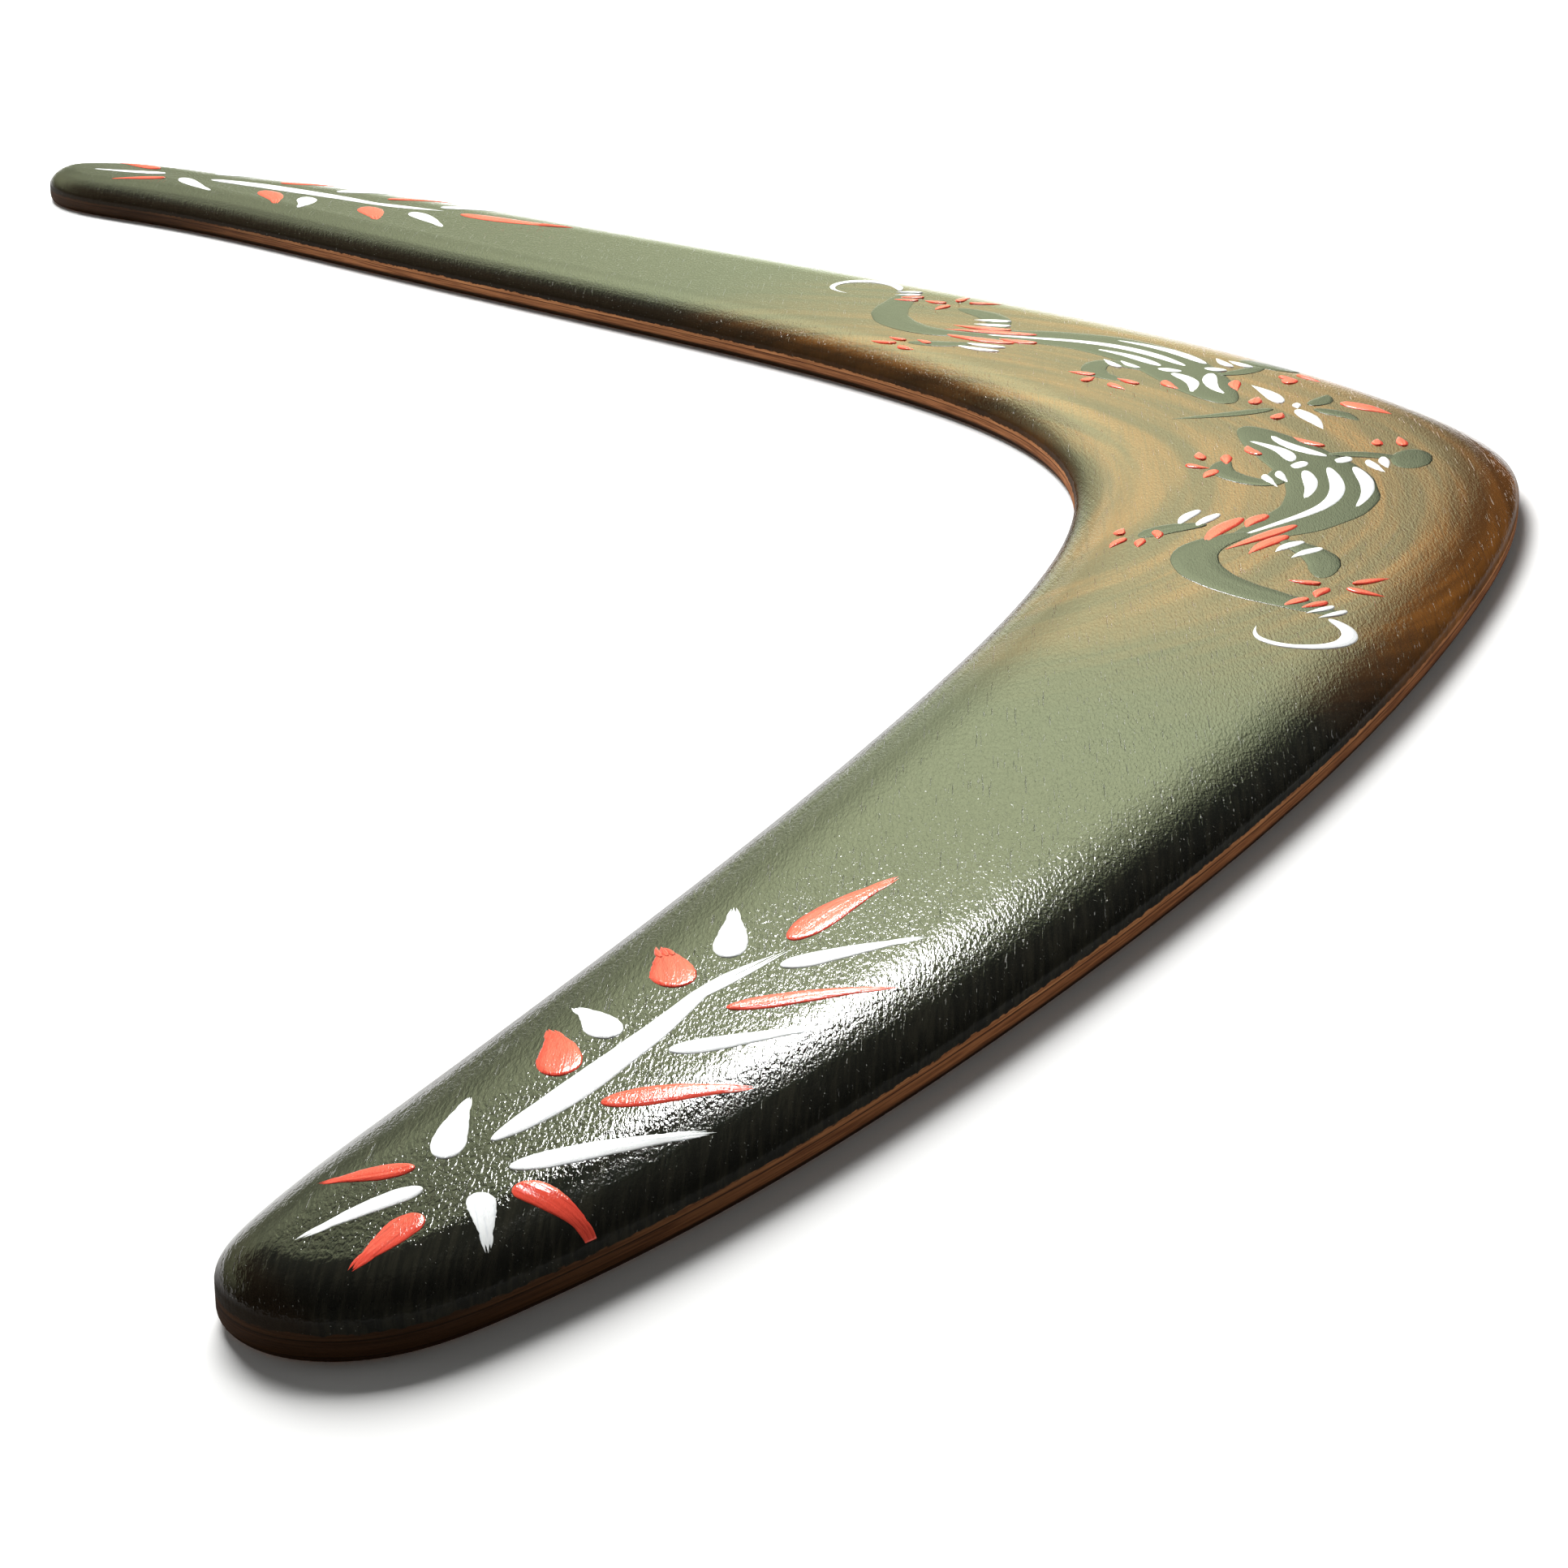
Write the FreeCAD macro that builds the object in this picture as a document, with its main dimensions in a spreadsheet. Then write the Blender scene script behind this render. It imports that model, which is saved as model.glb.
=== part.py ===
import FreeCAD, Part
import math
import os
from FreeCAD import Vector

doc = FreeCAD.newDocument("Boomerang")

# ---------------------------------------------------------------- sizes (mm)
sheet = doc.addObject("Spreadsheet::Sheet", "Sizes")
sizes = [
    ("total_thickness", 6.0),      # board from the flat underside to the flat top
    ("band_bottom", 1.3),          # height where the rounded lower edge meets the upright band
    ("band_top", 3.1),             # height where the upright band meets the carved bevel
    ("lower_round", 1.3),          # how far the lower edge is rounded in
    ("bevel_width", 11.0),         # width of the carved bevel along the arms
    ("tip_bevel_width", 4.6),      # width of the carved bevel round the two tips
    ("tip_blend", 45.0),           # distance from a tip over which the bevel widens
    ("face_ply", 0.7),             # the two outer veneers
    ("crossband_ply", 1.2),        # the two veneers with the grain turned
    ("glue_line", 0.1),            # each of the four glue lines
    ("black_film", 0.12),          # black paint under the figures
    ("color_film", 0.22),          # thick white and red paint
    ("shift_right", 14.7),         # moves the drawing origin to the middle of the board
    ("shift_back", -80.7),
]
for row, (alias, value) in enumerate(sizes, start=1):
    sheet.set("A%d" % row, alias)
    sheet.set("B%d" % row, str(value))
    sheet.setAlias("B%d" % row, alias)
doc.recompute()


def size(alias):
    return float(sheet.get(alias))


top = size("total_thickness")
shift = Vector(size("shift_right"), size("shift_back"), 0)

# ---------------------------------------------------------------- outline of the board
# Counter-clockwise: right tip, leading edge over the elbow, left tip, inner edge of the V.
right_tip = [(215.2, 3.0), (223.0, 0.4), (228.6, 3.2), (231.0, 9.5), (225.9, 22.1)]
leading_edge = [(211.4, 40.7), (188.5, 64.2), (136.2, 109.4), (73.4, 153.2), (41.2, 170.7),
                (20.1, 177.6), (-11.4, 175.2), (-55.4, 158.9), (-108.8, 126.8),
                (-169.2, 84.2), (-221.9, 42.9)]
left_tip = [(-247.0, 17.0), (-259.0, -1.0), (-259.0, -13.5), (-248.0, -16.5), (-221.0, -1.2)]
inner_edge = [(-165.3, 36.4), (-91.2, 83.4), (-45.1, 108.8), (-19.0, 117.6), (6.0, 119.6),
              (37.0, 113.0), (70.3, 98.0), (108.4, 75.6), (163.1, 39.3), (199.5, 13.4)]
outline_points = [Vector(x, y, 0) + shift
                  for x, y in right_tip + leading_edge + left_tip + inner_edge]
outline = Part.BSplineCurve()
outline.interpolate(Points=outline_points, PeriodicFlag=True)
tip_centers = [Vector(227.0, 3.5, 0) + shift, Vector(-258.5, -13.0, 0) + shift]

samples = 64
first = outline.FirstParameter
span = outline.LastParameter - first


def bevel_width_at(point):
    """Carved bevel: narrow round the tips, full width along the arms."""
    reach = min(point.distanceToPoint(center) for center in tip_centers)
    blend = min(1.0, reach / size("tip_blend"))
    smooth = blend * blend * (3.0 - 2.0 * blend)
    narrow = size("tip_bevel_width")
    return narrow + (size("bevel_width") - narrow) * smooth


def inset_share(height):
    """Share of the bevel width (or of the lower round) cut away at a height."""
    if height < size("band_bottom"):
        drop = 1.0 - height / size("band_bottom")
        return -(1.0 - math.sqrt(1.0 - drop * drop))
    if height <= size("band_top"):
        return 0.0
    rise = (height - size("band_top")) / (top - size("band_top"))
    return 1.0 - math.sqrt(max(0.0, 1.0 - rise * rise))


def rim(height, film=0.0):
    """Closed rim of the board at one height, grown outwards by a paint film."""
    share = inset_share(height)
    points = []
    for index in range(samples):
        u = first + span * index / samples
        point = outline.value(u)
        tangent = outline.tangent(u)[0]
        inward = Vector(-tangent.y, tangent.x, 0)
        if share < 0:
            inset = -share * size("lower_round")
        else:
            inset = share * bevel_width_at(point)
        points.append(point + inward * (inset - film) + Vector(0, 0, height))
    curve = Part.BSplineCurve()
    curve.interpolate(Points=points, PeriodicFlag=True)
    return Part.Wire([curve.toShape()])


def levels_between(low, high):
    """Heights where the carved surface is sampled inside one layer."""
    rise = top - size("band_top")
    bevel = [size("band_top") + rise * math.sin(math.radians(a)) for a in (28, 50, 68)]
    lower = [size("band_bottom") * f for f in (0.25, 0.6)]
    fixed = lower + bevel
    gap = 0.12
    return [low] + [z for z in fixed if low + gap < z < high - gap] + [high]


def loft(wires):
    return Part.makeLoft(wires, True, False)


# ---------------------------------------------------------------- veneers and glue lines
core = top - 2 * size("face_ply") - 2 * size("crossband_ply") - 4 * size("glue_line")
stack = [
    ("back_face_ply", size("face_ply")),
    ("back_glue_line", size("glue_line")),
    ("lower_crossband_ply", size("crossband_ply")),
    ("lower_core_glue_line", size("glue_line")),
    ("core_ply", core),
    ("upper_core_glue_line", size("glue_line")),
    ("upper_crossband_ply", size("crossband_ply")),
    ("top_glue_line", size("glue_line")),
    ("top_face_ply", size("face_ply")),
]
nodes = []


def layer_pieces(low, high):
    """A layer is split at the upright band so that the band stays upright."""
    breaks = [low]
    for edge in (size("band_bottom"), size("band_top")):
        if low < edge < high:
            breaks.append(edge)
    breaks.append(high)
    parts = []
    for a, b in zip(breaks[:-1], breaks[1:]):
        parts.append(loft([rim(z) for z in levels_between(a, b)]))
    solid = parts[0]
    for part in parts[1:]:
        solid = solid.fuse(part)
    return solid


height = 0.0
layers = {}
for name, thickness in stack:
    layer = doc.addObject("Part::Feature", name)
    layer.Label = name
    layer.Shape = layer_pieces(height, height + thickness).Solids[0]
    layer.Placement = FreeCAD.Placement()
    layers[name] = layer
    nodes.append(layer)
    height += thickness

# ---------------------------------------------------------------- brush strokes
# A stroke is (width, peak, path). It starts round, is widest at the share "peak" of its
# path and runs out to a fine point. A blunt stroke ends round as well.


def half_width(t, width, peak, blunt):
    if t < peak:
        s = 1.0 - t / peak
        return 0.5 * width * math.sqrt(1.0 - s * s)
    s = (t - peak) / (1.0 - peak)
    if blunt:
        return 0.5 * width * math.sqrt(1.0 - s * s)
    return 0.5 * width * (1.0 - s ** 1.6)


def stroke_face(width, peak, path, blunt=False):
    points = [Vector(x, y, 0) + shift for x, y in path]
    center = Part.BSplineCurve()
    center.interpolate(Points=points)
    a = center.FirstParameter
    length = center.LastParameter - a
    steps = [0.02, 0.08, 0.18, 0.32, 0.5, 0.68, 0.82]
    if blunt:
        steps += [0.92, 0.98]
    left = []
    right = []
    for t in steps:
        point = center.value(a + length * t)
        along = center.tangent(a + length * t)[0]
        side = Vector(-along.y, along.x, 0) * half_width(t, width, peak, blunt)
        left.append(point + side)
        right.append(point - side)
    edge = Part.BSplineCurve()
    if blunt:
        edge.interpolate(Points=[points[0]] + right + [points[-1]] + left[::-1],
                         PeriodicFlag=True)
    else:
        edge.interpolate(Points=[points[-1]] + left[::-1] + [points[0]] + right + [points[-1]])
    # the outline is laid down as separate lengths, so that no side wall closes on itself
    first = edge.FirstParameter
    span = edge.LastParameter - first
    stops = [first + span * share for share in (0.0, 0.25, 0.5, 0.75, 1.0)]
    lengths = [edge.toShape(start, end) for start, end in zip(stops, stops[1:])]
    return Part.Face(Part.Wire(lengths))


def to_left_arm(x, y):
    """The spray on the left arm is the right one mirrored, turned and drawn larger."""
    along = 188.7 - x
    across = y - 33.6
    return (1.42 * (along - 0.038 * across) - 202.0, 1.42 * (0.038 * along + across) + 32.9)


def to_left_figure(x, y):
    """The left figure is the right one mirrored and turned."""
    along = 48.2 - x
    across = y - 133.1
    return (along - 0.093 * across - 53.2, 0.093 * along + across + 130.8)


def mirrored(strokes, move, growth):
    return [(width * growth, peak, [move(x, y) for x, y in path])
            for width, peak, path in strokes]


spray_stem = [
    (3.0, 0.28, [(209.4, 21.4), (202.9, 27.5), (197.8, 31.6), (189.6, 37.8), (181.6, 43.8),
                 (177.5, 48.9)]),
]
spray_white = [
    (2.7, 0.2, [(214.3, 22.2), (211.9, 29.6), (209.4, 38.2)]),
    (2.7, 0.2, [(195.7, 36.9), (194.4, 43.2), (193.0, 49.8)]),
    (2.7, 0.2, [(180.3, 48.8), (178.2, 54.5), (176.2, 62.0)]),
    (3.0, 0.25, [(177.5, 44.7), (172.5, 46.0), (166.4, 47.2)]),
    (3.3, 0.3, [(192.3, 32.4), (188.8, 32.3), (184.8, 30.8)]),
    (2.7, 0.25, [(211.8, 17.6), (206.0, 19.0), (201.0, 20.6)]),
]
spray_red = [
    (3.3, 0.3, [(174.7, 50.7), (169.3, 55.0), (161.6, 63.0)]),
    (2.7, 0.3, [(188.1, 42.8), (186.9, 49.6), (186.0, 57.2)]),
    (3.3, 0.3, [(204.5, 30.3), (203.4, 35.7), (203.0, 42.4)]),
    (4.0, 0.3, [(183.0, 39.3), (178.5, 39.8), (173.4, 39.7)]),
    (3.7, 0.3, [(198.7, 27.4), (194.3, 28.4), (188.8, 28.2)]),
]
burst_white = [
    (2.2, 0.2, [(217.9, 19.6), (221.4, 19.5), (225.4, 19.4)]),
    (2.1, 0.2, [(216.2, 15.6), (219.0, 11.2), (222.6, 6.4)]),
]
burst_red = [
    (3.2, 0.25, [(217.0, 22.4), (220.4, 25.6), (223.4, 28.0)]),
    (2.6, 0.25, [(220.4, 15.0), (224.1, 12.5), (227.7, 9.8)]),
    (2.4, 0.35, [(212.6, 15.4), (213.4, 12.0), (213.8, 8.4)]),
]
figure_black = [
    (5.5, 0.5, [(20.5, 164.4), (25.0, 162.3), (30.0, 159.8)]),
    (12.0, 0.5, [(3.5, 146.5), (18.0, 147.6), (36.0, 147.4), (49.0, 141.0), (59.0, 127.0)]),
    (6.0, 0.5, [(56.0, 130.5), (62.0, 122.0), (74.0, 119.5), (84.0, 124.0), (92.0, 129.0)]),
    (4.4, 0.5, [(60.0, 132.5), (68.0, 134.6), (77.0, 131.8)]),
    (3.6, 0.5, [(51.5, 126.0), (52.6, 121.0), (55.6, 116.4)]),
    (3.8, 0.5, [(27.0, 143.0), (33.5, 139.4), (28.0, 136.0), (21.0, 138.4)]),
    (3.2, 0.5, [(21.0, 152.0), (22.0, 157.0), (25.0, 161.0)]),
]
figure_white = [
    (2.1, 0.3, [(28.0, 153.3), (37.0, 151.8), (45.0, 148.2), (50.2, 144.6)]),
    (2.2, 0.25, [(27.6, 149.9), (38.0, 147.5), (46.0, 143.0), (52.0, 136.0), (60.2, 124.6)]),
    (2.1, 0.3, [(28.6, 146.4), (37.0, 144.3), (44.4, 140.4)]),
    (2.4, 0.3, [(22.0, 151.6), (17.0, 149.3), (12.0, 148.2), (6.8, 148.5)]),
    (2.4, 0.3, [(23.8, 146.2), (18.0, 146.8), (13.0, 145.0), (9.8, 143.5)]),
    (2.2, 0.5, [(23.0, 154.4), (24.4, 153.0), (26.0, 151.8)]),
    (2.2, 0.5, [(24.2, 147.9), (26.0, 146.4), (27.8, 145.2)]),
    (1.5, 0.4, [(23.8, 158.8), (26.5, 158.0), (29.4, 157.4)]),
    (1.5, 0.4, [(25.0, 156.2), (28.0, 156.0), (31.4, 156.3)]),
    (1.4, 0.4, [(28.3, 143.0), (31.0, 142.3), (34.2, 142.3)]),
    (1.4, 0.4, [(29.6, 140.6), (32.4, 140.2), (35.8, 140.3)]),
    (1.6, 0.4, [(45.0, 127.2), (48.0, 124.4), (51.6, 122.4)]),
    (1.6, 0.4, [(47.2, 129.0), (50.0, 126.2), (53.0, 123.8)]),
    (1.8, 0.4, [(61.6, 135.0), (63.0, 132.6), (65.2, 130.2)]),
    (1.8, 0.4, [(64.8, 136.2), (66.2, 133.8), (68.0, 131.2)]),
    (1.9, 0.3, [(93.0, 127.2), (98.0, 127.8), (102.2, 124.6), (102.0, 120.0), (98.0, 117.4),
                (93.6, 118.6)]),
    (1.3, 0.4, [(90.4, 130.2), (91.4, 128.4), (92.2, 126.2)]),
    (1.3, 0.4, [(88.4, 129.4), (89.4, 127.6), (90.2, 125.4)]),
]
figure_red = [
    (2.2, 0.35, [(48.8, 134.6), (51.5, 131.8), (54.0, 130.2)]),
    (2.4, 0.35, [(49.6, 131.2), (54.5, 126.6), (60.8, 122.6)]),
    (2.2, 0.35, [(54.2, 136.6), (58.4, 130.8), (63.0, 124.6)]),
    (2.2, 0.35, [(58.6, 134.0), (61.8, 130.0), (65.4, 126.8)]),
    (1.9, 0.35, [(16.6, 153.2), (14.0, 151.8), (10.6, 150.8)]),
    (1.8, 0.35, [(19.6, 143.4), (17.0, 142.9), (13.8, 143.4)]),
    (1.6, 0.35, [(18.6, 163.6), (16.0, 164.2), (13.2, 164.8)]),
    (1.6, 0.35, [(17.6, 160.4), (16.0, 160.8), (13.8, 161.6)]),
    (1.6, 0.35, [(18.6, 139.0), (21.0, 138.2), (23.6, 137.4)]),
    (1.6, 0.35, [(20.4, 135.2), (18.4, 135.4), (16.0, 136.0)]),
    (1.8, 0.35, [(22.4, 132.4), (24.0, 133.4), (24.8, 134.8)]),
    (1.8, 0.35, [(26.0, 135.2), (27.8, 133.8), (29.6, 132.4)]),
    (1.5, 0.35, [(53.2, 119.0), (55.0, 118.8), (56.8, 118.2)]),
    (1.4, 0.35, [(56.6, 116.4), (58.0, 115.6), (60.0, 114.8)]),
    (1.5, 0.35, [(53.8, 114.4), (52.2, 114.8), (50.6, 115.8)]),
    (1.4, 0.35, [(55.6, 114.6), (57.0, 113.0), (59.0, 111.6)]),
    (1.7, 0.35, [(80.2, 134.6), (79.4, 136.8), (78.6, 139.6)]),
    (1.7, 0.35, [(81.6, 133.4), (83.6, 134.6), (85.4, 136.6)]),
    (1.7, 0.35, [(79.4, 131.0), (78.4, 129.4), (77.0, 127.8)]),
    (1.7, 0.35, [(81.4, 131.2), (82.8, 129.6), (84.6, 128.6)]),
    (1.7, 0.35, [(84.6, 127.6), (85.8, 125.6), (87.0, 123.8)]),
    (1.7, 0.35, [(86.6, 129.2), (87.4, 127.4), (88.2, 125.4)]),
]
center_black = [
    (2.8, 0.3, [(-5.6, 153.4), (-3.8, 147.0), (-2.6, 137.6)]),
    (3.2, 0.4, [(-4.4, 159.0), (-1.0, 161.4), (3.6, 162.8)]),
    (3.2, 0.4, [(-6.4, 159.2), (-9.0, 161.8), (-12.6, 163.8)]),
]
center_white = [
    (2.5, 0.35, [(-8.6, 155.5), (-14.0, 155.9), (-20.4, 155.1)]),
    (2.5, 0.35, [(-4.4, 156.5), (1.0, 156.7), (7.2, 156.3)]),
    (1.3, 0.4, [(-8.0, 157.8), (-6.6, 157.2), (-5.2, 156.9)]),
]
center_red = [
    (2.0, 0.35, [(-8.8, 151.8), (-10.8, 152.6), (-13.2, 153.8)]),
    (2.0, 0.35, [(0.4, 151.8), (-1.4, 152.8), (-3.2, 154.0)]),
    (3.4, 0.4, [(-7.4, 164.0), (-4.6, 165.8), (0.4, 168.6)]),
    (2.4, 0.4, [(-20.0, 160.4), (-22.0, 161.4), (-25.0, 161.8)]),
]


# ---------------------------------------------------------------- paint films


def grown_board(film):
    """The carved top of the board grown by a paint film."""
    heights = levels_between(size("band_top"), top)
    wires = []
    for z in heights:
        wire = rim(z, film)
        wire.translate(Vector(0, 0, film))
        wires.append(wire)
    return loft(wires)


carved_top = doc.addObject("Part::Feature", "carved_top")
carved_top.Shape = grown_board(0.0)
carved_top.Placement = FreeCAD.Placement()
grown = doc.addObject("Part::Feature", "grown_top")
grown.Shape = grown_board(size("color_film"))
grown.Placement = FreeCAD.Placement()
skin = doc.addObject("Part::Cut", "color_film_skin")
skin.Base = grown
skin.Tool = carved_top
smallest_patch = 0.3    # scraps of paint smaller than this (mm2) are left out


def paint_node(name, strokes):
    """Raised paint: the stroke outlines stood up and kept inside the film over the wood."""
    faces = [stroke_face(width, peak, path) for width, peak, path in strokes]
    shape = faces[0]
    if len(faces) > 1:
        shape = faces[0].multiFuse(faces[1:]).removeSplitter()
    drawing = doc.addObject("Part::Feature", name + "_outline")
    drawing.Shape = shape
    drawing.Placement = FreeCAD.Placement()
    prism = doc.addObject("Part::Extrusion", name + "_prism")
    prism.Base = drawing
    prism.DirMode = "Custom"
    prism.Dir = Vector(0, 0, 1)
    prism.Solid = True
    prism.setExpression("LengthFwd", "Sizes.total_thickness * 2")
    paint = doc.addObject("Part::MultiCommon", name)
    paint.Shapes = [skin, prism]
    paint.Label = name
    nodes.append(paint)


flat_top = Part.Face(rim(top))


def flat_paint_node(name, strokes, film, blunt=False, around=()):
    """Raised paint on the flat top only. Paint laid later leaves its own place free."""
    faces = [stroke_face(width, peak, path, blunt) for width, peak, path in strokes]
    shape = faces[0].multiFuse(faces[1:]).removeSplitter()
    shape.translate(Vector(0, 0, top))
    shape = shape.common(flat_top)
    for other in around:
        shape = shape.cut(other.Shape)
    drawing = doc.addObject("Part::Feature", name + "_outline")
    drawing.Shape = Part.makeCompound([f for f in shape.Faces if f.Area > smallest_patch])
    drawing.Placement = FreeCAD.Placement()
    paint = doc.addObject("Part::Extrusion", name)
    paint.Base = drawing
    paint.DirMode = "Custom"
    paint.Dir = Vector(0, 0, 1)
    paint.Solid = True
    paint.setExpression("LengthFwd", "Sizes." + film)
    paint.Label = name
    nodes.append(paint)
    return drawing


left = {
    "stem": mirrored(spray_stem, to_left_arm, 1.15),
    "white": mirrored(spray_white, to_left_arm, 1.15),
    "red": mirrored(spray_red, to_left_arm, 1.15),
    "burst_white": mirrored(burst_white[1:], to_left_arm, 1.15),
    "burst_red": mirrored(burst_red[1:], to_left_arm, 1.15),
    "figure_black": mirrored(figure_black, to_left_figure, 1.0),
    "figure_white": mirrored(figure_white, to_left_figure, 1.0),
    "figure_red": mirrored(figure_red, to_left_figure, 1.0),
}
paint_node("right_arm_stem_white", spray_stem)
paint_node("right_arm_leaves_white", spray_white)
paint_node("right_arm_leaves_red", spray_red)
paint_node("right_tip_dabs_white", burst_white)
paint_node("right_tip_dabs_red", burst_red)
paint_node("left_arm_stem_white", left["stem"])
paint_node("left_arm_leaves_white", left["white"])
paint_node("left_arm_leaves_red", left["red"])
paint_node("left_tip_dabs_white", left["burst_white"])
paint_node("left_tip_dabs_red", left["burst_red"])
for side, black, white, red in (
        ("right", figure_black, figure_white, figure_red),
        ("left", left["figure_black"], left["figure_white"], left["figure_red"])):
    bones = flat_paint_node(side + "_figure_white", white, "color_film")
    bands = flat_paint_node(side + "_figure_red", red, "color_film", around=[bones])
    flat_paint_node(side + "_figure_black", black, "black_film", True, [bones, bands])
bones = flat_paint_node("center_motif_white", center_white, "color_film")
bands = flat_paint_node("center_motif_red", center_red, "color_film", around=[bones])
flat_paint_node("center_motif_black", center_black, "black_film", around=[bones, bands])

# ---------------------------------------------------------------- check and write
doc.recompute()
for item in doc.Objects:
    if "Invalid" in item.State or "Error" in item.State:
        raise RuntimeError("bad feature: " + item.Label)
for node in nodes:
    if node.Shape.isNull() or not node.Shape.isValid():
        raise RuntimeError("bad shape: " + node.Label)
    if not node.Shape.Solids:
        raise RuntimeError("no solid: " + node.Label)
os.makedirs("parts", exist_ok=True)
for node in nodes:
    node.Shape.exportStep("parts/" + node.Label + ".step")
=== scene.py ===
import math

import bpy
import numpy as np
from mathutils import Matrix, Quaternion, Vector, kdtree


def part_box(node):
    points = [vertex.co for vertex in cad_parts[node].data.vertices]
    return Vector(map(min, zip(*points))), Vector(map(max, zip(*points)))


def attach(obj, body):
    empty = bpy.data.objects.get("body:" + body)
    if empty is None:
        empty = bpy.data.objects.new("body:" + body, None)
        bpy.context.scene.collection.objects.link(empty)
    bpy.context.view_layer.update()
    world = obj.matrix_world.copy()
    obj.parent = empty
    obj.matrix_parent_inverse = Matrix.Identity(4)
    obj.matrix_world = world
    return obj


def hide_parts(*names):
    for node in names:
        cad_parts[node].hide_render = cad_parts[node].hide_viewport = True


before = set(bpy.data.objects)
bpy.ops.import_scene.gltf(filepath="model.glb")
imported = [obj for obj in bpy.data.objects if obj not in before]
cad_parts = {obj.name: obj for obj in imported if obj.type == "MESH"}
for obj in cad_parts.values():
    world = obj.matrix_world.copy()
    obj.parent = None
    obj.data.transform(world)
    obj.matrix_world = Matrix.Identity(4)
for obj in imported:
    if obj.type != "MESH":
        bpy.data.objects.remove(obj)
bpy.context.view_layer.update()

# A painted plywood boomerang on a pale table. It lies flat on z = 0, with its span along X
# and its elbow towards +Y. The board and the paint are worked out in millimetres, and
# multiplied by MM where Blender needs metres. The outline and the strokes are drawn from
# the same origin as in the CAD model, and SHIFT moves them to the middle of the board.
MM = 0.001
SHIFT = np.array([14.7, -80.7])

# ---------------------------------------------------------------- sizes of the board
TOP = 6.0               # the flat top
BAND_BOTTOM = 1.3       # the edge is upright from here
BAND_TOP = 3.1          # to here
LOWER_ROUND = 1.3       # how far the rounded lower edge runs in
BEVEL_WIDTH = 11.0      # carved bevel along the arms
TIP_BEVEL_WIDTH = 4.6   # and round the tips
TIP_BLEND = 45.0        # distance from a tip over which the one becomes the other
RIGHT_TIP = [(215.2, 3.0), (223.0, 0.4), (228.6, 3.2), (231.0, 9.5), (225.9, 22.1)]
LEADING_EDGE = [(211.4, 40.7), (188.5, 64.2), (136.2, 109.4), (73.4, 153.2), (41.2, 170.7),
                (20.1, 177.6), (-11.4, 175.2), (-55.4, 158.9), (-108.8, 126.8),
                (-169.2, 84.2), (-221.9, 42.9)]
LEFT_TIP = [(-247.0, 17.0), (-259.0, -1.0), (-259.0, -13.5), (-248.0, -16.5), (-221.0, -1.2)]
INNER_EDGE = [(-165.3, 36.4), (-91.2, 83.4), (-45.1, 108.8), (-19.0, 117.6), (6.0, 119.6),
              (37.0, 113.0), (70.3, 98.0), (108.4, 75.6), (163.1, 39.3), (199.5, 13.4)]
TIP_CENTERS = np.array([(227.0, 3.5), (-258.5, -13.0)]) + SHIFT

RIM_COUNT = 1500        # vertices in each ring
BEVEL_STEP = 3.0        # degrees of bevel from one ring to the next
LOWER_STEP = 10.0       # and of the lower edge
RING_GAP = 0.012        # no ring comes closer than this to the end of its layer


def spline(points, closed=False):
    """Cubic spline by chord length. Returns a function of the share t that gives the
    points and the unit tangents."""
    p = np.array(points, float)
    if closed:
        p = np.vstack([p, p[:1]])
    chord = np.linalg.norm(np.diff(p, axis=0), axis=1)
    knots = np.concatenate([[0.0], np.cumsum(chord)])
    count = len(p)
    system = np.zeros((count, count))
    right = np.zeros((count, 2))
    for i in range(1, count - 1):
        system[i, i - 1] = chord[i - 1]
        system[i, i] = 2 * (chord[i - 1] + chord[i])
        system[i, i + 1] = chord[i]
        right[i] = 6 * ((p[i + 1] - p[i]) / chord[i] - (p[i] - p[i - 1]) / chord[i - 1])
    if closed:
        system[0, 0] = 2 * chord[0]
        system[0, 1] = chord[0]
        system[0, -1] = 2 * chord[-1]
        system[0, -2] = chord[-1]
        right[0] = 6 * ((p[1] - p[0]) / chord[0] - (p[-1] - p[-2]) / chord[-1])
        system[-1, 0] = 1
        system[-1, -1] = -1
    else:
        system[0, 0] = 1
        system[-1, -1] = 1
    bend = np.linalg.solve(system, right)

    def at(t):
        u = np.clip(np.asarray(t, float), 0.0, 1.0) * knots[-1]
        i = np.clip(np.searchsorted(knots, u, side="right") - 1, 0, len(chord) - 1)
        h = chord[i][:, None]
        b = ((u - knots[i])[:, None]) / h
        a = 1 - b
        place = (a * p[i] + b * p[i + 1]
                 + ((a ** 3 - a) * bend[i] + (b ** 3 - b) * bend[i + 1]) * h * h / 6)
        slope = ((p[i + 1] - p[i]) / h
                 + ((1 - 3 * a * a) * bend[i] + (3 * b * b - 1) * bend[i + 1]) * h / 6)
        return place, slope / np.linalg.norm(slope, axis=1)[:, None]

    return at


def smooth(x):
    """0 below 0, 1 above 1, smooth between."""
    x = np.clip(x, 0.0, 1.0)
    return x * x * (3 - 2 * x)


def path_length(path):
    return np.linalg.norm(np.diff(np.array(path), axis=0), axis=1).sum()


# ---------------------------------------------------------------- the carved board


def bevel_width_at(places):
    """Carved bevel: narrow round the tips, full width along the arms."""
    reach = np.linalg.norm(places[:, None] - TIP_CENTERS[None], axis=2).min(1)
    return TIP_BEVEL_WIDTH + (BEVEL_WIDTH - TIP_BEVEL_WIDTH) * smooth(reach / TIP_BLEND)


outline = spline(np.array(RIGHT_TIP + LEADING_EDGE + LEFT_TIP + INNER_EDGE) + SHIFT, True)
rim_place, rim_tangent = outline(np.arange(RIM_COUNT) / RIM_COUNT)
rim_inward = np.stack([-rim_tangent[:, 1], rim_tangent[:, 0]], 1)
rim_bevel = bevel_width_at(rim_place)


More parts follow.
